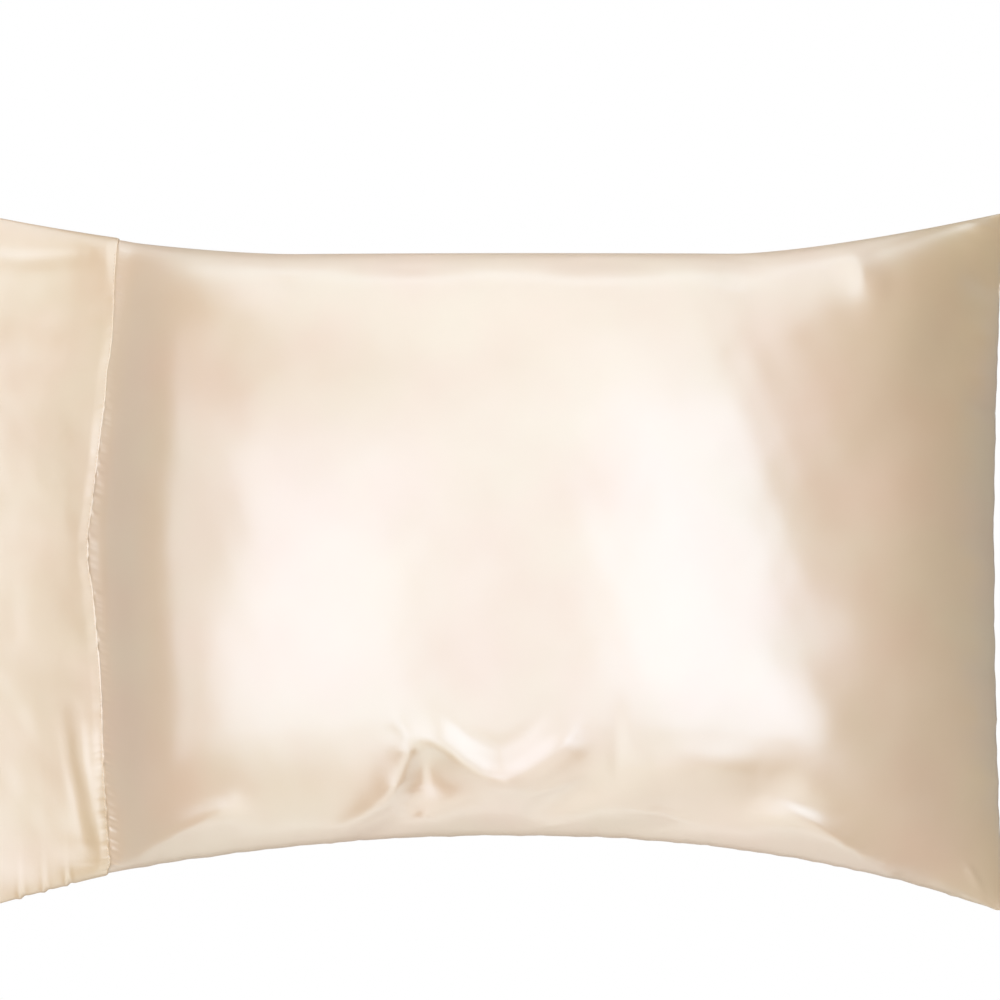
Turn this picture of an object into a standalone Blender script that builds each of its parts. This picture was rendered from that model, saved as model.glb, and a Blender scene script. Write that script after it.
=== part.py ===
"""A satin pillowcase, filled, lying on its back.

X runs along the case, from its open mouth (-X) to its closed end (+X). Y runs across it, from the
near long side (-Y) to the far one. +Z is up, and z = 0 is the surface that it lies on. The origin is
the middle of its outline, on that surface. All sizes are in metres.
"""
import bmesh
import bpy
from mathutils import Matrix

# --- driving sizes -----------------------------------------------------------------------------
MOUTH_X = -0.377            # corners of the mouth
END_X = 0.377               # corners of the closed end: 754 mm between them

FAR_SIDE_Y = 0.2245         # middle of the far long side, which is drawn in least
NEAR_SIDE_Y = 0.1972        # middle of the near long side, which is drawn in most
NEAR_WAIST_X = 0.0044       # where the near side is drawn in furthest

CLOTH = 0.0020              # the doubled cloth of the cuff
SEAT = 0.0003               # clearance between the cuff and the case under it
CUFF_SEAM_X = -0.2770       # the stitched line of the cuff, at its ends
CUFF_LEAN = 0.0035          # how far that line leans to +X at the far side, and to -X at the near
LEAN_END = -0.170           # the lean fades out up to here
CUFF_LAP = 0.005            # how far the cuff laps over the case
FILLING_NOSE = 0.042        # how far the filling's rounded end reaches into the cuff
NOSE_CORNER = 0.10          # share of its width that the filling loses towards that end
FOOT_EASE = 0.016           # length in which the underside comes down to the surface past the cuff

COLUMNS = 62                # divisions of the case along X
NOSE_COLUMNS = 5            # divisions of the filling's end
CUFF_COLUMNS = 8            # divisions of the cuff along X
NEAR_ROWS = 17              # divisions across, in the creased strip along the near side
FAR_ROWS = 23               # divisions across, in the rest
CREASED_STRIP = 0.44        # width of that strip, as a share of the half width
SAME_PLACE = 1e-6           # points closer than this are one

# How far each end spreads past the middle of a long side: where the spread starts (distance from
# the middle of the case), how much it gives at the corner, and the power of its curve.
FAR_SPREAD = {"mouth": (0.140, 0.0305, 1.6), "end": (0.175, 0.0344, 1.4)}
NEAR_SPREAD = {"mouth": (0.0, 0.0580, 2.0), "end": (0.0, 0.0648, 2.3)}

# Cross-sections of the filled case, one row for each station along X.
#   at     station, at the long sides
#   bow    how far the middle of this section lies towards -X of its ends
#   edge   height of the long sides' turn above the surface
#   lift   how much higher the middle of the section's mid-line lies than its ends
#   crown  height of the upper face in the middle
#   belly  how far the under face would hang below the mid-line, were there no surface
#   full   power of the section's curve: a higher one has a broader top and steeper sides
SECTIONS = [
    # at      bow     edge    lift    crown   belly   full
    (-0.377,  0.0150, 0.0080, 0.0000, 0.0240, 0.0200, 2.8),
    (-0.345,  0.0150, 0.0105, 0.0000, 0.0310, 0.0230, 2.8),
    (-0.310,  0.0140, 0.0145, 0.0000, 0.0420, 0.0270, 2.8),
    (-0.274,  0.0130, 0.0210, 0.0000, 0.0605, 0.0330, 2.8),
    (-0.262,  0.0128, 0.0242, 0.0000, 0.0700, 0.0365, 2.8),
    (-0.246,  0.0125, 0.0290, 0.0000, 0.0915, 0.0410, 2.9),
    (-0.215,  0.0120, 0.0380, 0.0000, 0.1200, 0.0510, 3.0),
    (-0.175,  0.0110, 0.0470, 0.0000, 0.1370, 0.0610, 3.1),
    (-0.120,  0.0090, 0.0550, 0.0000, 0.1500, 0.0700, 3.2),
    (-0.050,  0.0060, 0.0590, 0.0000, 0.1605, 0.0750, 3.3),
    (0.030,   0.0040, 0.0600, 0.0000, 0.1645, 0.0765, 3.3),
    (0.110,   0.0030, 0.0590, 0.0000, 0.1605, 0.0755, 3.3),
    (0.180,   0.0035, 0.0560, 0.0010, 0.1505, 0.0725, 3.2),
    (0.240,   0.0050, 0.0490, 0.0040, 0.1350, 0.0660, 3.1),
    (0.290,   0.0070, 0.0400, 0.0090, 0.1140, 0.0570, 3.0),
    (0.330,   0.0090, 0.0310, 0.0150, 0.0880, 0.0430, 2.8),
    (0.358,   0.0105, 0.0240, 0.0190, 0.0640, 0.0230, 2.6),
    (0.377,   0.0116, 0.0190, 0.0220, 0.0410, 0.0000, 2.5),
]
STATION, BOW, EDGE, LIFT, CROWN, BELLY, FULL = range(7)
SECTION_TURN = 0.58         # power that rounds the turn at the long sides

# Main creases of the upper face, as soft ridges and troughs, one row for each.
#   from and to   its ends (x, y)
#   bend          how far its middle bends to the left of the way from one to the other
#   reach         how far it fades out sideways
#   rise          its height, below zero for a trough
CREASES = [
    # from                to                bend    reach  rise
    ((0.004, 0.160),   (0.006, -0.120),   0.000,  0.050, -0.0010),   # slack down the middle
    ((-0.190, 0.140),  (-0.020, 0.178),   0.000,  0.045, -0.0040),   # slack patch, far left
    ((-0.061, -0.131), (-0.103, -0.190),  0.009,  0.010, 0.0055),    # arc crease at the near side
    ((-0.046, -0.135), (-0.086, -0.194),  0.009,  0.010, -0.0060),   # its shaded side
    ((-0.050, -0.142), (-0.036, -0.154),  0.000,  0.011, -0.0060),   # pit where the folds meet
    ((-0.040, -0.120), (0.004, -0.153),   -0.003, 0.010, 0.0045),    # left arm of the V
    ((0.009, -0.153),  (0.050, -0.128),   -0.003, 0.010, 0.0045),    # right arm of the V
    ((-0.057, -0.182), (-0.040, -0.190),  0.000,  0.011, 0.0035),    # knob below the pit
    ((-0.027, -0.190), (0.020, -0.190),   0.000,  0.010, -0.0040),   # hollow at the near edge
    ((0.030, -0.174),  (0.064, -0.157),   0.000,  0.009, -0.0045),   # short slanting trough
    ((0.080, -0.190),  (0.117, -0.189),   0.000,  0.010, -0.0040),   # second hollow at the edge
    ((0.122, -0.174),  (0.194, -0.164),   0.000,  0.019, -0.0045),   # broad soft hollow
    ((-0.262, -0.217), (-0.190, -0.178),  0.006,  0.011, 0.0055),    # pull to the mouth's corner
    ((0.200, -0.180),  (0.292, -0.227),   0.006,  0.011, 0.0055),    # pull to the end's corner
    ((-0.292, -0.117), (-0.302, -0.205),  0.004,  0.012, -0.0040),   # soft fold in the cuff
    ((-0.100, 0.213),  (-0.030, 0.213),   0.000,  0.010, -0.0035),   # dents along the far side
    ((0.050, 0.214),   (0.110, 0.215),    0.000,  0.010, -0.0035),
    ((0.166, 0.216),   (0.184, 0.212),    0.000,  0.011, -0.0035),
    ((0.256, 0.222),   (0.268, 0.196),    0.000,  0.009, 0.0040),    # small tuck, far side
    ((0.225, -0.060),  (0.345, -0.200),   0.010,  0.030, -0.0030),   # slack towards the corners
    ((0.250, 0.060),   (0.352, 0.200),    -0.010, 0.030, -0.0030),
    ((-0.390, 0.120),  (-0.300, 0.105),   0.000,  0.035, 0.0030),    # waves of the cuff's edge
    ((-0.395, 0.020),  (-0.310, 0.030),   0.000,  0.030, -0.0025),
    ((-0.392, -0.085), (-0.305, -0.070),  0.000,  0.032, 0.0025),
]
# Gathers that run in from the closed end's seam: place across, length and height of each.
END_GATHERS = [(0.150, 0.026, 0.0030), (0.082, 0.030, 0.0035), (0.054, 0.026, 0.0030),
               (-0.012, 0.034, 0.0040), (-0.062, 0.030, 0.0035), (-0.102, 0.026, 0.0030),
               (-0.160, 0.024, 0.0030)]
GATHER_REACH = 0.007
CREASE_EDGE = 2.5           # how soon a crease gains its height from the sides' turn inwards
CREASE_DEPTH = 0.020        # fullness that the case needs under a crease of full height


# --- the shape of the filled case -------------------------------------------------------------------
def clamp(value, low=0.0, high=1.0):
    return max(low, min(high, value))


def section_at(at):
    """Every column of SECTIONS at one station, on a smooth curve through the rows."""
    rows = SECTIONS
    i = 0
    while i < len(rows) - 2 and at > rows[i + 1][STATION]:
        i += 1
    low, high = rows[i], rows[i + 1]
    before = rows[i - 1] if i > 0 else low
    after = rows[i + 2] if i + 2 < len(rows) else high
    span = high[STATION] - low[STATION]
    t = clamp((at - low[STATION]) / span)
    values = []
    for column in range(len(low)):
        slope_low = (high[column] - before[column]) / (high[STATION] - before[STATION]) * span
        slope_high = (after[column] - low[column]) / (after[STATION] - low[STATION]) * span
        values.append((2 * t**3 - 3 * t**2 + 1) * low[column] + (t**3 - 2 * t**2 + t) * slope_low
                      + (3 * t**2 - 2 * t**3) * high[column] + (t**3 - t**2) * slope_high)
    return values


def spread(at, middle, rows, waist):
    """Distance of a long side from the length's axis at one station."""
    start, gain, power = rows["end"] if at > waist else rows["mouth"]
    reach = (END_X if at > waist else -MOUTH_X) - start
    t = clamp((abs(at - waist) - start) / reach)
    return middle + gain * t**power


def plan_point(at, across, section):
    """Place in plan of the case's cloth: across runs from -1, near side, to 1, far side."""
    far = spread(at, FAR_SIDE_Y, FAR_SPREAD, 0.0)
    near = spread(at, NEAR_SIDE_Y, NEAR_SPREAD, NEAR_WAIST_X)
    y = (far - near) / 2 + across * (far + near) / 2
    lean = CUFF_LEAN * clamp((LEAN_END - at) / (LEAN_END - CUFF_SEAM_X))
    x = at - section[BOW] * (1 - across**2) + lean * across
    return x, y


def crease_rise(x, y):
    """Sum of the creases' heights at one place of the upper face."""
    total = 0.0
    for (x0, y0), (x1, y1), bend, reach, rise in CREASES:
        along_x, along_y = x1 - x0, y1 - y0
        length = (along_x**2 + along_y**2) ** 0.5
        t = ((x - x0) * along_x + (y - y0) * along_y) / length**2
        past = (t - clamp(t)) * length
        t = clamp(t)
        side = ((y - y0) * along_x - (x - x0) * along_y) / length - bend * 4 * t * (1 - t)
        total += rise * 2.718 ** -((side**2 + past**2) / reach**2)
    return total


def gather_rise(y, at):
    """Height of the small gathers at the closed end's seam."""
    total = 0.0
    for place, length, rise in END_GATHERS:
        inwards = clamp(1 - (END_X - at) / length)
        total += rise * inwards * 2.718 ** -(((y - place) / GATHER_REACH) ** 2)
    return total


def case_point(at, across, face, out=0.0, floor=0.0, nose=1.0):
    """A point of the filled case: face is 1 on the upper face and -1 on the under face.

    out moves the skin outwards, floor is how low the under face may come, and nose, from 1 to 0,
    closes the filling's end.
    """
    section = section_at(at)
    x, y = plan_point(at, across, section)
    arch = max(0.0, 1 - abs(across) ** section[FULL]) ** SECTION_TURN
    middle = section[EDGE] + section[LIFT] * (1 - across**2) + gather_rise(y, at)
    if face > 0:
        height = section[CROWN] - section[EDGE] - section[LIFT]
        crease = crease_rise(x, y) * clamp(CREASE_EDGE * arch) * clamp(height / CREASE_DEPTH)
        z = middle + ((height + out) * arch + crease) * nose
    else:
        z = max(floor, middle - (section[BELLY] + out) * arch * nose)
    width = 1 - NOSE_CORNER * (1 - nose)
    return x, y * width + out * across, max(z, floor)


# --- building the closed solids -----------------------------------------------------------------------
def across_rows():
    """Places across the case, closer together in the creased strip along the near side."""
    strip_end = -1 + CREASED_STRIP
    near = [-1 + CREASED_STRIP * (j / NEAR_ROWS) ** 1.25 for j in range(NEAR_ROWS)]
    far = [strip_end + (1 - strip_end) * (1 - (1 - j / FAR_ROWS) ** 1.3) for j in range(FAR_ROWS + 1)]
    return near + far


def add_skin(bm, stations, rows, place):
    """A grid of faces over stations and rows, each vertex put where place(station, row) says."""
    made = bmesh.ops.create_grid(bm, x_segments=len(stations) - 1, y_segments=len(rows) - 1,
                                 size=0.5)
    for vert in made["verts"]:
        i = round((vert.co.x + 0.5) * (len(stations) - 1))
        j = round((vert.co.y + 0.5) * (len(rows) - 1))
        vert.co = place(stations[i], rows[j])


def finish_part(bm, name, material):
    """Closes the mesh at its shared edges, joins the faces that lie on the surface into one plane
    face, turns all faces outwards and makes the named object of it."""
    bmesh.ops.remove_doubles(bm, verts=bm.verts, dist=SAME_PLACE)
    bmesh.ops.dissolve_degenerate(bm, dist=SAME_PLACE, edges=bm.edges)
    bmesh.ops.recalc_face_normals(bm, faces=bm.faces)
    if bm.calc_volume(signed=True) < 0:
        bmesh.ops.reverse_faces(bm, faces=bm.faces)
    foot = [f for f in bm.faces if all(abs(v.co.z) < SAME_PLACE for v in f.verts)]
    bmesh.ops.dissolve_faces(bm, faces=foot, use_verts=True)
    mesh = bpy.data.meshes.new(name)
    bm.to_mesh(mesh)
    bm.free()
    mesh.materials.append(material)
    mesh.shade_smooth()
    part = bpy.data.objects.new(name, mesh)
    bpy.context.scene.collection.objects.link(part)
    return part


def satin(name, colour, roughness):
    """Woven satin: smooth, with a broad soft gloss."""
    material = bpy.data.materials.new(name)
    material.use_nodes = True
    shader = material.node_tree.nodes["Principled BSDF"]
    shader.inputs["Base Color"].default_value = (*colour, 1.0)
    shader.inputs["Roughness"].default_value = roughness
    shader.inputs["Metallic"].default_value = 0.0
    return material


def build_case_body():
    """The filled case, from the filling's rounded end inside the cuff to the closed end."""
    lap_start, lap_end = CUFF_SEAM_X - CUFF_LAP, CUFF_SEAM_X
    nose = [lap_start - FILLING_NOSE * (1 - (i / NOSE_COLUMNS) ** 1.6) for i in range(NOSE_COLUMNS)]
    body = [lap_end + (END_X - lap_end) * (1 - (1 - i / COLUMNS) ** 1.12) for i in range(COLUMNS + 1)]
    stations = nose + [lap_start] + body

    def place(face):
        def point(at, across):
            closing = clamp((lap_start - at) / FILLING_NOSE)
            clear = (CLOTH + SEAT) * (1 - clamp((at - lap_end) / FOOT_EASE))
            return case_point(at, across, face, floor=clear, nose=(1 - closing**2) ** 0.5)
        return point

    bm = bmesh.new()
    add_skin(bm, stations, across_rows(), place(1))
    add_skin(bm, stations, across_rows(), place(-1))
    return finish_part(bm, "case_body", satin("champagne_satin", (0.80, 0.68, 0.54), 0.36))


def build_cuff_band():
    """The doubled band at the mouth: an open sleeve that laps over the end of the case."""
    lap_start, lap_end = CUFF_SEAM_X - CUFF_LAP, CUFF_SEAM_X
    stations = [MOUTH_X + (lap_start - MOUTH_X) * i / CUFF_COLUMNS for i in range(CUFF_COLUMNS + 1)]
    stations.append(lap_end)
    rows = across_rows()

    def wall(face, out, floor):
        return lambda at, across: case_point(at, across, face, out=out, floor=floor)

    bm = bmesh.new()
    for face in (1, -1):
        outside, inside = wall(face, CLOTH + SEAT, 0.0), wall(face, SEAT, CLOTH)
        add_skin(bm, stations, rows, outside)
        add_skin(bm, stations, rows, inside)
    bmesh.ops.remove_doubles(bm, verts=bm.verts, dist=SAME_PLACE)
    rims = [e for e in bm.edges if e.is_boundary]
    half_way = (MOUTH_X + lap_end) / 2
    for mouth_side in (True, False):
        ring = [e for e in rims if (e.verts[0].co.x < half_way) == mouth_side]
        bmesh.ops.bridge_loops(bm, edges=ring)
    return finish_part(bm, "cuff_band", satin("cuff_satin", (0.86, 0.73, 0.60), 0.40))


def centre_on_origin(parts):
    """Brings the middle of the whole outline onto the origin."""
    points = [v.co for part in parts for v in part.data.vertices]
    middle = [(min(p[axis] for p in points) + max(p[axis] for p in points)) / 2 for axis in (0, 1)]
    for part in parts:
        part.data.transform(Matrix.Translation((-middle[0], -middle[1], 0.0)))


for leftover in list(bpy.data.objects):
    bpy.data.objects.remove(leftover, do_unlink=True)
centre_on_origin([build_case_body(), build_cuff_band()])
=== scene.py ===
import math
import random

import bmesh
import bpy
import numpy as np
from mathutils import Matrix, Vector
from mathutils.bvhtree import BVHTree


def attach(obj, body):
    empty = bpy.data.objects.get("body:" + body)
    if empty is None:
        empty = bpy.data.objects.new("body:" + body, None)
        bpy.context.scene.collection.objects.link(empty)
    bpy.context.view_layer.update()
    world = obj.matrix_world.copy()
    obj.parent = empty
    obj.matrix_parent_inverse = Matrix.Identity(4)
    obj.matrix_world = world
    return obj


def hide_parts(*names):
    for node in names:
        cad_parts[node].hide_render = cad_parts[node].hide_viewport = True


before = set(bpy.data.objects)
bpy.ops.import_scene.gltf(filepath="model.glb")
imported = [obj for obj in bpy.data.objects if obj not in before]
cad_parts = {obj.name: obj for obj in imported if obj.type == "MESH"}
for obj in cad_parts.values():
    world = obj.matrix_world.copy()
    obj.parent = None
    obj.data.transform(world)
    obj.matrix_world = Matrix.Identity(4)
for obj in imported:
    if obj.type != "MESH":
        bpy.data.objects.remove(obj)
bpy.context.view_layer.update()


# --- The room ---------------------------------------------------------------------------------
# The case lies on a plain white table top and is seen from straight above. A tent of soft lamps
# hangs over it, dimmer over the middle, with low, creamier lamps and pale cards along either long
# side.
FRAME_WIDTH = 0.7257          # what the photograph takes in, at the height of the long sides
SIDES_HEIGHT = 0.045
CAMERA_OVER = (0.0119, 0.0457)    # x and y of the point that the camera hangs over
CAMERA_LENS = 100.0           # in mm, as is the sensor's width
SENSOR_WIDTH = 36.0
CAMERA_SEES_TO = 100.0
TABLE_SIZE = 40.0             # so large that its edge is far off in low views too
WHITE = (1.0, 1.0, 1.0)
COOL = (0.99, 1.0, 1.06)
PALE_GREEN = (0.95, 1.02, 1.0)
CREAM = (1.0, 0.99, 0.97)
WARM = (1.0, 0.95, 0.85)
ROOM_COLOUR = (1.0, 0.985, 0.96, 1.0)
ROOM_GLOW = 0.01
TABLE_WHITE = (1.0, 1.0, 1.0, 1.0)
TABLE_SHADE = (0.30, 0.29, 0.28, 1.0)     # what the satin mirrors of it, dim as in a dark studio
ROOF = 2.2                    # height of the lamps that hang over the table

scene = bpy.context.scene
scene.view_settings.view_transform = "Standard"
scene.view_settings.exposure = 0.0

camera_data = bpy.data.cameras.new("camera_above")
camera_data.lens = CAMERA_LENS
camera_data.sensor_width = SENSOR_WIDTH
camera_data.clip_end = CAMERA_SEES_TO
camera = bpy.data.objects.new("camera_above", camera_data)
camera.location = (*CAMERA_OVER, SIDES_HEIGHT + FRAME_WIDTH * CAMERA_LENS / SENSOR_WIDTH)
scene.collection.objects.link(camera)
scene.camera = camera

LAMPS = [
    # name                 place                 what it is turned to   width  length  glow   light
    ("over_left",          (-0.90, -0.60, ROOF), (-0.90, -0.60, 0.0),   1.20,  1.8,    2.25,  COOL),
    ("over_left_far",      (-0.90, 0.60, ROOF),  (-0.90, 0.60, 0.0),    1.20,  0.6,    1.50,  COOL),
    ("over_left_farther",  (-0.90, 1.95, ROOF),  (-0.90, 1.95, 0.0),    1.20,  2.1,    1.30,  WHITE),
    ("over_near",          (-0.60, -2.25, ROOF), (-0.60, -2.25, 0.0),   1.80,  1.5,    1.75,  WHITE),
    ("over_middle",        (0.00, -0.60, ROOF),  (0.00, -0.60, 0.0),    0.60,  1.8,    0.90,  PALE_GREEN),
    ("over_middle_far",    (0.00, 1.65, ROOF),   (0.00, 1.65, 0.0),     0.60,  2.7,    1.60,  PALE_GREEN),
    ("over_right",         (0.90, -0.30, ROOF),  (0.90, -0.30, 0.0),    1.20,  2.4,    2.60,  COOL),
    ("over_right_near",    (0.90, -2.25, ROOF),  (0.90, -2.25, 0.0),    1.20,  1.5,    0.80,  WHITE),
    ("over_right_far",     (0.90, 1.95, ROOF),   (0.90, 1.95, 0.0),     1.20,  2.1,    2.10,  WHITE),
    ("outer_left_near",    (-1.85, -1.25, ROOF), (-1.85, -1.25, 0.0),   0.70,  1.9,    1.70,  WHITE),
    ("outer_left",         (-1.85, 0.30, ROOF),  (-1.85, 0.30, 0.0),    0.70,  1.2,    2.30,  WHITE),
    ("outer_left_far",     (-1.85, 1.55, ROOF),  (-1.85, 1.55, 0.0),    0.70,  1.3,    1.50,  WHITE),
    ("outer_right_near",   (1.85, -1.25, ROOF),  (1.85, -1.25, 0.0),    0.70,  1.9,    2.60,  WHITE),
    ("side_far",           (0.00, 2.60, 1.15),   (0.00, 0.00, 0.1),     3.00,  1.3,    1.60,  CREAM),
    ("side_far_low",       (0.00, 2.60, 0.25),   (0.00, 0.00, 0.1),     2.60,  0.5,    1.60,  CREAM),
    ("side_near",          (0.00, -2.60, 1.15),  (0.00, 0.00, 0.1),     1.80,  1.3,    1.40,  WARM),
    ("side_near_low",      (0.00, -2.60, 0.25),  (0.00, 0.00, 0.1),     1.80,  0.5,    1.30,  WARM),
    ("side_left",          (-2.60, 0.00, 1.50),  (0.00, 0.00, 0.1),     3.60,  0.6,    1.60,  WHITE),
    ("card_far",           (0.02, 0.80, 0.01),   (0.02, 0.80, 2.0),     0.95,  0.6,    2.20,  CREAM),
    ("card_far_close",     (0.02, 0.40, 0.01),   (0.02, 0.40, 2.0),     0.60,  0.24,   0.60,  CREAM),
    ("card_near",          (0.02, -0.75, 0.01),  (0.02, -0.75, 2.0),    0.70,  0.6,    1.40,  WARM),
    ("card_near_close",    (0.00, -0.37, 0.01),  (0.00, -0.37, 2.0),    0.60,  0.22,   0.60,  WARM),
]
for name, place, target, width, length, glow, light in LAMPS:
    lamp_data = bpy.data.lights.new(name, "AREA")
    lamp_data.shape = "RECTANGLE"
    lamp_data.size, lamp_data.size_y = width, length
    lamp_data.energy = glow * math.pi * width * length
    lamp_data.color = light
    lamp = bpy.data.objects.new(name, lamp_data)
    lamp.location = place
    lamp.rotation_euler = (Vector(target) - Vector(place)).to_track_quat("-Z", "Y").to_euler()
    lamp.visible_camera = False
    scene.collection.objects.link(lamp)

world = bpy.data.worlds.new("room")
world.use_nodes = True
world.node_tree.nodes["Background"].inputs["Color"].default_value = ROOM_COLOUR
world.node_tree.nodes["Background"].inputs["Strength"].default_value = ROOM_GLOW
scene.world = world


class Value:
    """A socket of a material, so that sums on it are written as plain expressions."""

    def __init__(self, socket):
        self.socket = socket

    def sum_of(self, operation, first, second):
        return add_node(self.socket.id_data, "ShaderNodeMath", {"operation": operation},
                        {0: first, 1: second})

    def __add__(self, other):
        return self.sum_of("ADD", self, other)

    def __radd__(self, other):
        return self.sum_of("ADD", other, self)

    def __sub__(self, other):
        return self.sum_of("SUBTRACT", self, other)

    def __rsub__(self, other):
        return self.sum_of("SUBTRACT", other, self)

    def __mul__(self, other):
        return self.sum_of("MULTIPLY", self, other)

    def __rmul__(self, other):
        return self.sum_of("MULTIPLY", other, self)


def add_node(tree, kind, settings, sockets, out=0):
    """Adds a node with its settings, then its sockets' values or links, and gives one output."""
    node = tree.nodes.new(kind)
    for name, setting in settings.items():
        setattr(node, name, setting)
    for key, value in sockets.items():
        if isinstance(value, Value):
            tree.links.new(value.socket, node.inputs[key])
        else:
            node.inputs[key].default_value = value
    return Value(node.outputs[out])


def new_material(name):
    """A material and its node tree, empty but for the output."""
    material = bpy.data.materials.new(name)
    material.use_nodes = True
    tree = material.node_tree
    tree.nodes.remove(tree.nodes["Principled BSDF"])
    return material, tree


def show(tree, shader):
    """Puts the shader on the material's output."""
    tree.links.new(shader.socket, tree.nodes["Material Output"].inputs["Surface"])


def object_from(bm, name):
    """A new object of this name, with the bmesh as its mesh."""
    mesh = bpy.data.meshes.new(name)
    bm.to_mesh(mesh)
    bm.free()
    piece = bpy.data.objects.new(name, mesh)
    scene.collection.objects.link(piece)
    return piece


bm = bmesh.new()
bmesh.ops.create_grid(bm, x_segments=1, y_segments=1, size=TABLE_SIZE)
table_top = object_from(bm, "table_top")
table_white, tree = new_material("table_white")
seen = add_node(tree, "ShaderNodeEmission", {}, {"Color": TABLE_WHITE, "Strength": 1.0})
mirrored = add_node(tree, "ShaderNodeBsdfDiffuse", {}, {"Color": TABLE_SHADE})
ray = add_node(tree, "ShaderNodeLightPath", {}, {}, out="Is Camera Ray")
show(tree, add_node(tree, "ShaderNodeMixShader", {}, {0: ray, 1: mirrored, 2: seen}))
table_top.data.materials.append(table_white)


# --- The filled case ---------------------------------------------------------------------------
# One length of satin, folded and sewn along the near side and the closed end, filled out by the
# pillow in it. Its skin is a finer copy of the solid, creased as the slack cloth lies. The end of
# the pillow that shows inside the cuff is white cotton.
FINER = 2                     # times that the solid's faces are divided in four
DIVIDED_AGAIN = [(-0.010, 0.018), (-0.004, 0.012)]    # once more between these, past the cuff's line
NOT_UNDERNEATH = -0.3         # and where the skin faces upwards by more than this
SEAM_LINE = [                # the cuff's stitched line over the upper side: y and x of its points
    (-0.240, -0.2770), (-0.231, -0.2767), (-0.220, -0.2723), (-0.195, -0.2721), (-0.160, -0.2737),
    (-0.129, -0.2742), (-0.097, -0.2739), (-0.075, -0.2750), (-0.045, -0.2780), (-0.020, -0.2806),
    (0.000, -0.2845), (0.021, -0.2849), (0.041, -0.2817), (0.077, -0.2768), (0.098, -0.2742),
    (0.118, -0.2716), (0.139, -0.2706), (0.149, -0.2686), (0.166, -0.2673), (0.194, -0.2671),
    (0.225, -0.2674), (0.245, -0.2674)]
STRIP_WIDTH = 0.016           # the case puffs up beside that line, over this width
STRIP_RISE = 0.0008
STRIP_ENDS = (-0.185, -0.125) # towards the near side it fades out between these
PUCKERS_FADE = (0.10, 0.14)   # towards the far side its puckers grow fainter between these
PUCKERS_LOSE = 0.7            # by this share of their height
PILLOW_SHOWS = 0.010          # from here on into the cuff the skin is the pillow's

# Main creases of the upper side: the points that each one follows, its rise, and how far it fades
# out to its left and right. A trough has a rise below zero.
CREASE_NARROWS = 1.7          # so about a twentieth of the rise is left at the end of its reach
CREASE_TIP = 0.04             # share of its length at either tip, where about a third is left
CREASES = [
    # the long soft fold in the shape of a W over the near side, and the hollow above its middle
    ([(-0.060, -0.107), (-0.050, -0.117), (-0.038, -0.122), (-0.025, -0.127), (-0.014, -0.135),
      (0.000, -0.144), (0.015, -0.147), (0.030, -0.140), (0.046, -0.128), (0.063, -0.114)],
     0.0016, 0.014, 0.008),
    ([(-0.029, -0.098), (-0.009, -0.116), (0.012, -0.125), (0.026, -0.118), (0.044, -0.098)],
     -0.0014, 0.012, 0.010),
    # the arc that runs down from its left end, steep towards the pit beside it
    ([(-0.054, -0.111), (-0.050, -0.132), (-0.057, -0.149), (-0.069, -0.166), (-0.092, -0.182)],
     0.0014, 0.006, 0.013),
    ([(-0.044, -0.173), (-0.039, -0.180)], 0.0014, 0.009, 0.009),
    ([(-0.064, -0.171), (-0.089, -0.186)], -0.0010, 0.005, 0.005),
    # small folds along the near edge
    ([(0.033, -0.161), (0.048, -0.155), (0.066, -0.146)], 0.0010, 0.008, 0.005),
    ([(0.037, -0.187), (0.061, -0.183)], 0.0008, 0.004, 0.003),
    ([(0.104, -0.172), (0.123, -0.175), (0.146, -0.181)], 0.0012, 0.008, 0.006),
    ([(0.116, -0.140), (0.150, -0.137), (0.194, -0.141)], 0.0016, 0.022, 0.014),
    ([(0.091, -0.091), (0.094, -0.154)], -0.0008, 0.010, 0.010),
    # pulls from the near corners
    ([(-0.260, -0.222), (-0.240, -0.204), (-0.225, -0.196), (-0.208, -0.186), (-0.192, -0.175),
      (-0.177, -0.165)], 0.0014, 0.012, 0.009),
    ([(0.201, -0.165), (0.215, -0.171), (0.236, -0.183), (0.253, -0.196), (0.268, -0.209),
      (0.285, -0.218), (0.294, -0.223)], 0.0014, 0.009, 0.012),
    ([(0.351, -0.219), (0.366, -0.241)], 0.0014, 0.004, 0.006),
    # dents and a tuck along the far edge
    ([(-0.084, 0.219), (-0.045, 0.218), (0.005, 0.2185)], -0.0014, 0.004, 0.006),
    ([(-0.065, 0.210), (-0.038, 0.210)], -0.0010, 0.006, 0.007),
    ([(-0.155, 0.200), (-0.132, 0.198)], -0.0012, 0.008, 0.009),
    ([(0.056, 0.214), (0.115, 0.2145)], -0.0012, 0.005, 0.008),
    ([(0.160, 0.220), (0.195, 0.217)], -0.0014, 0.004, 0.005),
    ([(0.165, 0.200), (0.188, 0.199)], -0.0012, 0.009, 0.009),
    ([(0.259, 0.231), (0.266, 0.218), (0.269, 0.209), (0.268, 0.198)], 0.0006, 0.006, 0.010),
]

# Broad soft swells and hollows of the filling under the cloth: x and y of the middle, half length,
# half width, heading in degrees from the x axis, and rise.
SWELLS = [
    # slack down the middle, between the two full lobes of the pillow
    (-0.005, 0.030, 0.150, 0.050, 90, -0.0020),
    # slack patch towards the far left corner, and the same fainter at the far right
    (-0.150, 0.170, 0.120, 0.045, 10, -0.0030),
    (0.215, 0.190, 0.090, 0.040, 150, -0.0015),
    # the lobes stand fuller at their near corners, and draw in at their waists
    (-0.215, -0.140, 0.070, 0.050, 60, 0.0030),
    (0.235, -0.110, 0.080, 0.045, 100, 0.0030),
    (-0.205, 0.030, 0.060, 0.030, 85, -0.0030),
    (0.225, 0.085, 0.050, 0.035, 90, -0.0008),
]

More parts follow.
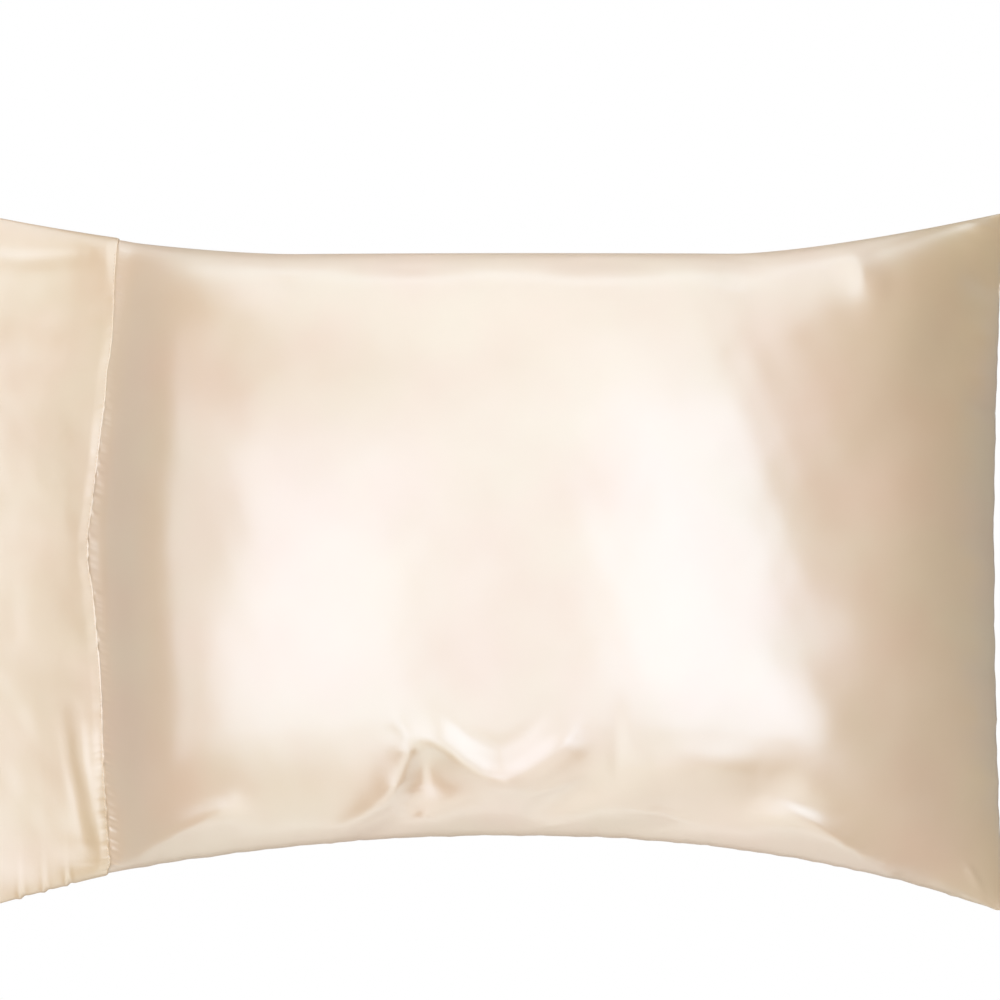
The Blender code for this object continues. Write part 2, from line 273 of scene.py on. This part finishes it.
# Slack of the cloth between them: shallow waves of no one direction. For each set the number of
# waves, their shortest and longest length, and the steepness of each.
SLACK = [(14, 0.060, 0.140, 0.0068), (16, 0.020, 0.045, 0.0036)]

# Puckers where the cloth is sewn: closest and widest spacing, narrowest and widest half width, and
# greatest height. Each pucker has one of the shares of that height, and a dent's is below zero.
SEAM_PUCKERS = (0.0035, 0.0095, 0.0010, 0.0020, 0.00055)
SIDE_PUCKERS = (0.0110, 0.0260, 0.0024, 0.0050, 0.00050)
END_PUCKERS = (0.0080, 0.0220, 0.0022, 0.0050, 0.00039)
END_GATHERS = (0.0140, 0.0420, 0.0040, 0.0085, 0.00260)
PUCKER_SHARES = (-1.0, -0.6, 0.5, 0.8, 1.0)
PUCKER_SLANT = 0.35           # how the puckers beside the cuff's line lean, and the end's gathers
GATHERS_SLANT = 0.2

# Where each row of them starts and stops: y of the cuff's line and of the closed end, x of the side.
SEAM_RUN = (-0.24, 0.24)
SIDE_RUN = (-0.27, 0.38)
END_RUN = (-0.26, 0.26)
GATHERS_RUN = (-0.08, 0.32)

# Where a form starts and where it is whole. These are metres past the cuff's line,
FREE_OF_LINE = (0.004, 0.030)
STRIP_STARTS = (-0.0020, 0.0008)
PUCKERS_START = (0.0, 0.0015)
PUCKERS_STOP = (0.001, 0.010)
# these are metres along x,
CREASES_STOP = (0.350, 0.380)
END_STARTS = (0.33, 0.36)
GATHERS_START = (0.338, 0.366)
# and these are how squarely the skin faces up, to the near side or to the closed end.
CREASES_FACE = (0.02, 0.35)
STRIP_FACES = (-0.1, 0.3)
SIDE_FACES = (0.55, 0.95)
END_FACES = (0.50, 0.92)
GATHERS_FACE = (0.0, 0.3)


def skin_of(node, name, finer):
    """The node's solid as one joined skin of smooth, finer four-sided faces."""
    bm = bmesh.new()
    bm.from_mesh(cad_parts[node].data)
    bmesh.ops.remove_doubles(bm, verts=bm.verts, dist=1e-5)
    bmesh.ops.join_triangles(bm, faces=bm.faces, angle_face_threshold=math.radians(40),
                             angle_shape_threshold=math.radians(60))
    piece = object_from(bm, name)
    rounding = piece.modifiers.new("finer", "SUBSURF")
    rounding.levels = rounding.render_levels = finer
    bpy.context.view_layer.update()
    fine = bpy.data.meshes.new_from_object(piece.evaluated_get(bpy.context.evaluated_depsgraph_get()))
    piece.modifiers.clear()
    piece.data = fine
    fine.name = name
    fine.shade_smooth()
    return piece


def refine(mesh, wanted):
    """Divides in four the faces whose corners are all wanted, a true or false for each vertex."""
    bm = bmesh.new()
    bm.from_mesh(mesh)
    bm.verts.ensure_lookup_table()
    edges = [edge for edge in bm.edges if wanted[edge.verts[0].index] and wanted[edge.verts[1].index]]
    bmesh.ops.subdivide_edges(bm, edges=edges, cuts=1, use_grid_fill=True)
    bm.to_mesh(mesh)
    bm.free()
    mesh.shade_smooth()


def places_of(mesh):
    """Places and outward directions of a mesh's vertices, as two tables of three columns."""
    count = len(mesh.vertices)
    places = np.empty(count * 3)
    mesh.vertices.foreach_get("co", places)
    normals = np.empty(count * 3)
    mesh.vertex_normals.foreach_get("vector", normals)
    return places.reshape(-1, 3), normals.reshape(-1, 3)


def move_to(mesh, places):
    """Puts the vertices at their new places."""
    mesh.vertices.foreach_set("co", places.ravel())
    mesh.update()


def ease(values, low, high):
    """0 below low, 1 above high, and a smooth turn between them."""
    t = np.clip((values - low) / (high - low), 0.0, 1.0)
    return t * t * (3 - 2 * t)


def crease_rise(x, y, creases):
    """Height of all the creases over the places x, y. A crease follows its points; left and right
    are how far it fades out to either side, seen from its first point to its last."""
    total = np.zeros_like(x)
    for points, rise, left, right in creases:
        nearest = np.full_like(x, np.inf)
        side = np.zeros_like(x)
        along = np.zeros_like(x)
        ends = np.cumsum([0.0] + [math.dist(a, b) for a, b in zip(points, points[1:])])
        for (x0, y0), (x1, y1), start, stop in zip(points, points[1:], ends, ends[1:]):
            run_x, run_y = (x1 - x0) / (stop - start), (y1 - y0) / (stop - start)
            t = np.clip((x - x0) * run_x + (y - y0) * run_y, 0.0, stop - start)
            off_x, off_y = x - x0 - t * run_x, y - y0 - t * run_y
            off = np.hypot(off_x, off_y)
            closer = off < nearest
            nearest = np.where(closer, off, nearest)
            side = np.where(closer, run_x * off_y - run_y * off_x, side)
            along = np.where(closer, start + t, along)
        reach = np.where(side > 0, left, right)
        swell = np.sin(np.pi * np.clip(along / ends[-1], CREASE_TIP, 1 - CREASE_TIP)) ** 0.5
        total += rise * swell * np.exp(-(CREASE_NARROWS * nearest / reach) ** 2)
    return total


def swell_rise(x, y, swells):
    """Height of all the swells over the places x, y."""
    total = np.zeros_like(x)
    for middle_x, middle_y, length, width, heading, rise in swells:
        turn = math.radians(heading)
        off_x, off_y = x - middle_x, y - middle_y
        along = (off_x * math.cos(turn) + off_y * math.sin(turn)) / length
        beside = (off_y * math.cos(turn) - off_x * math.sin(turn)) / width
        total += rise * np.exp(-along ** 2 - beside ** 2)
    return total


def slack_rise(x, y, sets, seed):
    """Height of the shallow waves over the places x, y."""
    draw = random.Random(seed)
    total = np.zeros_like(x)
    for count, shortest, longest, steepness in sets:
        for _ in range(count):
            heading, wave = draw.uniform(0, math.pi), draw.uniform(shortest, longest)
            phase = draw.uniform(0, 2 * math.pi)
            along = x * math.cos(heading) + y * math.sin(heading)
            total += steepness * wave / (2 * math.pi) * np.sin(along * 2 * math.pi / wave + phase)
    return total


def pucker_rise(along, run, puckers, seed):
    """Height of a row of puckers, at the distances along their seam."""
    closest, widest, narrow, broad, height = puckers
    draw = random.Random(seed)
    total = np.zeros_like(along)
    place = run[0]
    while place < run[1]:
        half, rise = draw.uniform(narrow, broad), height * draw.choice(PUCKER_SHARES)
        total += rise * np.exp(-((along - place) / half) ** 2)
        place += draw.uniform(closest, widest)
    return total


def seam_x(y):
    """x of the cuff's stitched line."""
    return np.interp(y, *zip(*SEAM_LINE))


case = skin_of("case_body", "satin_case", FINER)
for start, stop in DIVIDED_AGAIN:
    places, normals = places_of(case.data)
    past = places[:, 0] - seam_x(places[:, 1])
    refine(case.data, (past > start) & (past < stop) & (normals[:, 2] > NOT_UNDERNEATH))
places, normals = places_of(case.data)
x, y = places[:, 0], places[:, 1]
past = x - seam_x(y)
free = ease(past, *FREE_OF_LINE)
lift = ease(normals[:, 2], *CREASES_FACE) * free * (1 - ease(x, *CREASES_STOP)) * (
    crease_rise(x, y, CREASES) + swell_rise(x, y, SWELLS) + slack_rise(x, y, SLACK, seed=7))

# the puffed strip beside the cuff's stitched line, with the puckers that the stitches pull in it
strip = ease(past, *STRIP_STARTS) * (1 - ease(past, 0.0, STRIP_WIDTH)) * ease(y, *STRIP_ENDS)
pulled = ease(past, *PUCKERS_START) * (1 - ease(past, *PUCKERS_STOP))
pulled *= 1 - PUCKERS_LOSE * ease(y, *PUCKERS_FADE)
puckers = pucker_rise(y + PUCKER_SLANT * past, SEAM_RUN, SEAM_PUCKERS, seed=3)
rise = ease(normals[:, 2], *STRIP_FACES) * (STRIP_RISE * strip + pulled * puckers)

# the seams of the near side and the closed end, and the gathers on top beside the end
near_seam = ease(-normals[:, 1], *SIDE_FACES) * free
end_seam = ease(normals[:, 0], *END_FACES) * ease(x, *END_STARTS)
rise += near_seam * pucker_rise(x, SIDE_RUN, SIDE_PUCKERS, seed=5)
rise += end_seam * pucker_rise(y, END_RUN, END_PUCKERS, seed=11)
beside_end = ease(normals[:, 2], *GATHERS_FACE) * ease(x, *GATHERS_START)
lift += beside_end * pucker_rise(y + GATHERS_SLANT * x, GATHERS_RUN, END_GATHERS, seed=17)
places += normals * rise[:, None]
places[:, 2] = np.maximum(places[:, 2] + lift, 0.0)    # nothing sinks into the table
move_to(case.data, places)


CASE_PALER = (0.771, 0.603, 0.422, 1.0)
CASE_DEEPER = (0.741, 0.563, 0.382, 1.0)
CASE_ROUGH = 0.33
WARP_STREAKS = (45.0, 1250.0, 1250.0)     # to the metre, along x, y and z
WEFT_STREAKS = (1250.0, 60.0, 60.0)
WIDE_PATCHES = 7.0                        # to the metre, as the others are
SMALL_PATCHES = 26.0
BLUSH_PATCHES = 13.0
DIMPLES = 70.0
BLUSH_PLACE = (3.1, 1.7, 0.0)             # another part of the noise than the other patches
BLUSH = (1.01, 0.950, 0.970, 1.0)         # what the rosier patches multiply the colour by
END_PAINTED_SHADE = (0.87, 0.865, 0.77, 1.0)      # and the closed end, whose colour is darkened and greened as painted shade
END_PAINTED_SHADE_SPAN = (0.27, 0.375)                # which starts and is whole at these x
END_PAINTED_SHADE_LEAN = 0.15                           # and reaches further in towards the far side
BUMP_DEPTH = 0.001
SATIN_BENDS_LIGHT = 2.03
GLOSS_TINT = (0.573, 0.804, 1.0, 1.0)
SHEEN_TINT = (1.0, 0.93, 0.84, 1.0)
COTTON_DEEPER = (0.72, 0.71, 0.68, 1.0)
COTTON_PALER = (0.84, 0.83, 0.80, 1.0)
COTTON_WEAVE = 1400.0
FINE_BUMP = 0.0001


def satin(name, paler, deeper, rough):
    """Satin with its long warp threads along the case: slow changes of hue, a broad soft gloss that fine
    streaks along the threads break up, and painted shade that darkens the closed end's colour."""
    material, tree = new_material(name)
    place = add_node(tree, "ShaderNodeTexCoord", {}, {}, out="Object")

    def noise(spot, scale):
        return add_node(tree, "ShaderNodeTexNoise", {}, {"Vector": spot, "Scale": scale, "Detail": 2.0})

    def changed(operation, amounts):
        return add_node(tree, "ShaderNodeVectorMath", {"operation": operation}, {0: place, 1: amounts})

    def tinted(colour, share, tint):
        return add_node(tree, "ShaderNodeMix", {"data_type": "RGBA", "blend_type": "MULTIPLY"},
                        {0: share, 6: colour, 7: tint}, out=2)

    warp = noise(changed("MULTIPLY", WARP_STREAKS), 1.0)
    weft = noise(changed("MULTIPLY", WEFT_STREAKS), 1.0)
    wide, small = noise(place, WIDE_PATCHES), noise(place, SMALL_PATCHES)
    hue = 0.5 + 1.7 * (wide - 0.5) + 0.9 * (small - 0.5) + 0.12 * (warp - 0.5)
    colour = add_node(tree, "ShaderNodeMix", {"data_type": "RGBA"}, {0: hue, 6: deeper, 7: paler}, out=2)
    blush = 0.5 + 2.6 * (noise(changed("ADD", BLUSH_PLACE), BLUSH_PATCHES) - 0.5)
    colour = tinted(colour, blush, BLUSH)
    from_mouth = add_node(tree, "ShaderNodeSeparateXYZ", {}, {"Vector": place}, out="X")
    to_far_side = add_node(tree, "ShaderNodeSeparateXYZ", {}, {"Vector": place}, out="Y")
    # painted shade: the closed end's colour is darkened, reaching further in towards the far side
    end = add_node(tree, "ShaderNodeMapRange", {"interpolation_type": "SMOOTHSTEP"},
                   {"Value": from_mouth + END_PAINTED_SHADE_LEAN * to_far_side,
                    "From Min": END_PAINTED_SHADE_SPAN[0], "From Max": END_PAINTED_SHADE_SPAN[1]})
    colour = tinted(colour, end, END_PAINTED_SHADE)
    gloss = rough + 0.05 * (small - 0.5) + 0.06 * (warp - 0.5)
    height = 0.020 * warp + 0.012 * weft + 0.060 * noise(place, DIMPLES)
    bump = add_node(tree, "ShaderNodeBump", {}, {"Strength": 1.0, "Distance": BUMP_DEPTH, "Height": height})
    show(tree, add_node(tree, "ShaderNodeBsdfPrincipled", {}, {
        "Base Color": colour, "Roughness": gloss, "Normal": bump, "IOR": SATIN_BENDS_LIGHT,
        "Specular IOR Level": 1.0, "Specular Tint": GLOSS_TINT,
        "Sheen Weight": 0.10, "Sheen Roughness": 0.40, "Sheen Tint": SHEEN_TINT}))
    return material


cotton, tree = new_material("white_cotton")
place = add_node(tree, "ShaderNodeTexCoord", {}, {}, out="Object")
weave = add_node(tree, "ShaderNodeTexNoise", {}, {"Vector": place, "Scale": COTTON_WEAVE, "Detail": 2.0})
cotton_colour = add_node(tree, "ShaderNodeMix", {"data_type": "RGBA"},
                         {0: weave, 6: COTTON_DEEPER, 7: COTTON_PALER}, out=2)
bump = add_node(tree, "ShaderNodeBump", {}, {"Strength": 1.0, "Distance": FINE_BUMP, "Height": weave})
show(tree, add_node(tree, "ShaderNodeBsdfPrincipled", {}, {
    "Base Color": cotton_colour, "Roughness": 0.85, "Normal": bump, "Sheen Weight": 0.2}))

case.data.materials.clear()
case.data.materials.append(satin("champagne_satin", CASE_PALER, CASE_DEEPER, CASE_ROUGH))
case.data.materials.append(cotton)
centres = np.empty(len(case.data.polygons) * 3)
case.data.polygons.foreach_get("center", centres)
centres = centres.reshape(-1, 3)
hidden = centres[:, 0] < seam_x(centres[:, 1]) - PILLOW_SHOWS
case.data.polygons.foreach_set("material_index", hidden.astype(np.int32))
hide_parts("case_body")
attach(case, "root")


# --- The cuff ------------------------------------------------------------------------------------
# A band of the same satin, doubled, with its fold at the mouth. It is stitched round the case
# along one line, laps over it there, and its lower layer lies on the table.
CUFF_FINER = 3
LAP_MIDDLE = -0.2826          # the solid's own edge: x in the middle, how far it bows, and its lean
LAP_BOW = 0.0131
LAP_LEAN = 0.0035
LAP_CENTRE_Y = 0.0046
LAP_HALF = 0.2331
LAP_STATIONS = (-0.22, 0.225, 60)     # its climb is measured from, to and at this many places
LAP_DRAPE = 0.045             # the edge is drawn onto its line over this much of the cuff,
LAP_WHOLE = 0.004             # and the last of it moves as one
EDGE_THINS = 0.0012           # the pressed edge is this much thinner than the band,
EDGE_PRESSED = (0.0, 0.009)   # between the edge and here
PILLOW_BEGINS = (-0.345, -0.325)  # up to here the band's inner face waves with its outer one
WAVES_START = (0.001, 0.008)  # the waves grow, and the puckers fade, this far in from the edge
CUFF_PUCKERS_STOP = (0.0005, 0.010)
CUFF_PUCKER_SLANT = -0.3
# Where each layer starts and is whole, in height and in how squarely it faces up, down or out.
CLIMB_OVER = (0.016, 0.030)
OUTER_OVER = (0.008, 0.014)
INNER_OVER = (0.006, 0.012)
FOLD_OVER = (0.007, 0.013)
LAYER_FACES = (0.0, 0.3)
FOLD_FACES = (0.3, 0.7)
FOOT_FACES = (0.1, 0.8)
FOOT_STARTS = (0.19, 0.235)   # this far from the middle, towards the near side
CUFF_PALER = (0.758, 0.572, 0.362, 1.0)
CUFF_DEEPER = (0.714, 0.520, 0.296, 1.0)
CUFF_ROUGH = 0.38
CUFF_CREASES = [
    # the soft fold near the foot, steep towards the mouth, and the flat beside the stitched line
    ([(-0.294, -0.105), (-0.290, -0.143), (-0.286, -0.172), (-0.281, -0.215)], 0.0012, 0.008, 0.012),
    ([(-0.306, -0.112), (-0.301, -0.143), (-0.296, -0.172), (-0.291, -0.205)], -0.0010, 0.010, 0.008),
    # slow waves of the loose band
    ([(-0.384, 0.150), (-0.345, 0.160), (-0.300, 0.150)], 0.0016, 0.028, 0.024),
    ([(-0.384, 0.030), (-0.340, 0.045), (-0.300, 0.040)], 0.0012, 0.026, 0.030),
    ([(-0.384, -0.075), (-0.340, -0.060), (-0.305, -0.070)], 0.0014, 0.022, 0.030),
    ([(-0.384, 0.226), (-0.340, 0.222), (-0.290, 0.224)], -0.0016, 0.010, 0.012),
]
CUFF_SLACK = [(12, 0.045, 0.110, 0.0100), (14, 0.016, 0.034, 0.0060)]
# small gathers in the band's lower fold: x and height of each
FOOT_GATHERS = [(-0.3420, 0.0012), (-0.3385, -0.0007), (-0.3240, 0.0010), (-0.3205, -0.0006),
                (-0.3065, 0.0009), (-0.3042, -0.0012)]
GATHER_HALF = 0.0022


def tree_of(mesh):
    """The mesh as a tree that rays can be cast at."""
    bm = bmesh.new()
    bm.from_mesh(mesh)
    tree = BVHTree.FromBMesh(bm)
    bm.free()
    return tree


case_solid = tree_of(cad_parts["case_body"].data)


def case_top(x, y):
    """Height of the solid case's upper side."""
    hit = case_solid.ray_cast(Vector((x, y, 1.0)), Vector((0.0, 0.0, -1.0)))[0]
    return hit.z if hit else 0.0


def solid_edge_x(y):
    """x of the solid cuff's own edge, over its upper side."""
    across = np.clip((y - LAP_CENTRE_Y) / LAP_HALF, -1.0, 1.0)
    return LAP_MIDDLE + LAP_BOW * across ** 2 + LAP_LEAN * across


cuff = skin_of("cuff_band", "satin_cuff", CUFF_FINER)
places, normals = places_of(cuff.data)
x, y, z = places.T

# the edge is drawn onto the stitched line, up or down the case's slope
stations = np.linspace(*LAP_STATIONS)
climb = [case_top(seam_x(v), v) - case_top(edge, v) for v, edge in zip(stations, solid_edge_x(stations))]
own_edge = solid_edge_x(y)
past_edge = x - own_edge
drawn = ease(past_edge, -LAP_DRAPE, -LAP_WHOLE)
upper = ease(z, *CLIMB_OVER)
places[:, 0] += drawn * (seam_x(y) - own_edge)
places[:, 2] += drawn * upper * np.interp(y, stations, climb)

# the waves and creases of the loose band, the same on its outer face, its inner face and its fold
x, y, z = places.T
beyond_pillow = 1 - ease(x, *PILLOW_BEGINS)
upper_out = ease(normals[:, 2], *LAYER_FACES) * ease(z, *OUTER_OVER)
upper_in = ease(-normals[:, 2], *LAYER_FACES) * ease(z, *INNER_OVER) * beyond_pillow
fold = ease(-normals[:, 0], *FOLD_FACES) * ease(z, *FOLD_OVER) * beyond_pillow
waves = ease(-past_edge, *WAVES_START) * (
    crease_rise(x, y, CUFF_CREASES) + slack_rise(x, y, CUFF_SLACK, seed=21))
lift = np.maximum.reduce([upper_out, upper_in, fold]) * waves
lift -= EDGE_THINS * upper_out * (1 - ease(-past_edge, *EDGE_PRESSED))

# the puckers at the stitched line, and the gathers in the lower fold
pulled = (1 - ease(-past_edge, *CUFF_PUCKERS_STOP)) * (1 - PUCKERS_LOSE * ease(y, *PUCKERS_FADE))
puckers = pucker_rise(y + CUFF_PUCKER_SLANT * past_edge, SEAM_RUN, SEAM_PUCKERS, seed=13)
rise = upper_out * pulled * puckers
foot = ease(-normals[:, 1], *FOOT_FACES) * ease(-y, *FOOT_STARTS)
for place, height in FOOT_GATHERS:
    rise += foot * height * np.exp(-((x - place) / GATHER_HALF) ** 2)
places += normals * rise[:, None]
places[:, 2] = np.maximum(places[:, 2] + lift, 0.0)
move_to(cuff.data, places)

cuff.data.materials.clear()
cuff.data.materials.append(satin("champagne_satin_doubled", CUFF_PALER, CUFF_DEEPER, CUFF_ROUGH))
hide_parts("cuff_band")
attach(cuff, "root")


# --- The cuff's stitches -----------------------------------------------------------------------
# One row of lockstitch in matching thread holds the cuff to the case, just inside its edge, all
# round. Each stitch lies in the dent that it pulls.
STITCH_LENGTH = 0.0022
STITCH_STEP = 0.0028
STITCH_WIDTH = 0.00050
STITCH_INSET = 0.0018
STITCH_THICK = 0.35           # half its thickness, as a share of its width
FIRST_STITCH_Y = -0.223
STITCHED_LENGTH = 0.452
STITCH_ROWS = [               # start height and way of the rays that find the cloth, and how far a
    (1.0, -1.0, 0.00004),     # stitch stands out: over the upper side,
    (-1.0, 1.0, -0.00018),    # and underneath, where it is pressed in
]
THREAD_COLOUR = (0.66, 0.50, 0.34, 1.0)
THREAD_TWISTS = 900.0

cuff_tree = tree_of(cuff.data)
bm = bmesh.new()
for start, way, stands_out in STITCH_ROWS:
    for i in range(round(STITCHED_LENGTH / STITCH_STEP)):
        spot_y = FIRST_STITCH_Y + i * STITCH_STEP
        spot_x = float(seam_x(spot_y)) - STITCH_INSET
        ahead_x = float(seam_x(spot_y + STITCH_STEP)) - STITCH_INSET
        here = cuff_tree.ray_cast(Vector((spot_x, spot_y, start)), Vector((0, 0, way)))
        ahead = cuff_tree.ray_cast(Vector((ahead_x, spot_y + STITCH_STEP, start)), Vector((0, 0, way)))
        if here[0] is None or ahead[0] is None:
            continue
        along = (ahead[0] - here[0]).normalized()
        out = (here[1] - along * here[1].dot(along)).normalized()
        turn = Matrix((along, out.cross(along), out)).transposed().to_4x4()
        middle = Matrix.Translation(here[0] + out * stands_out)
        size = Matrix.Diagonal((STITCH_LENGTH / 2, STITCH_WIDTH / 2, STITCH_WIDTH * STITCH_THICK, 1.0))
        bmesh.ops.create_uvsphere(bm, u_segments=6, v_segments=4, radius=1.0,
                                  matrix=middle @ turn @ size)
stitches = object_from(bm, "cuff_stitches")
stitches.data.shade_smooth()
thread, tree = new_material("polyester_thread")
place = add_node(tree, "ShaderNodeTexCoord", {}, {}, out="Object")
twist = add_node(tree, "ShaderNodeTexWave", {"bands_direction": "DIAGONAL"},
                 {"Vector": place, "Scale": THREAD_TWISTS, "Distortion": 1.0})
bump = add_node(tree, "ShaderNodeBump", {}, {"Strength": 0.6, "Distance": FINE_BUMP, "Height": twist})
show(tree, add_node(tree, "ShaderNodeBsdfPrincipled", {}, {
    "Base Color": THREAD_COLOUR, "Roughness": 0.5, "Normal": bump, "Sheen Weight": 0.2}))
stitches.data.materials.append(thread)
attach(stitches, "root")
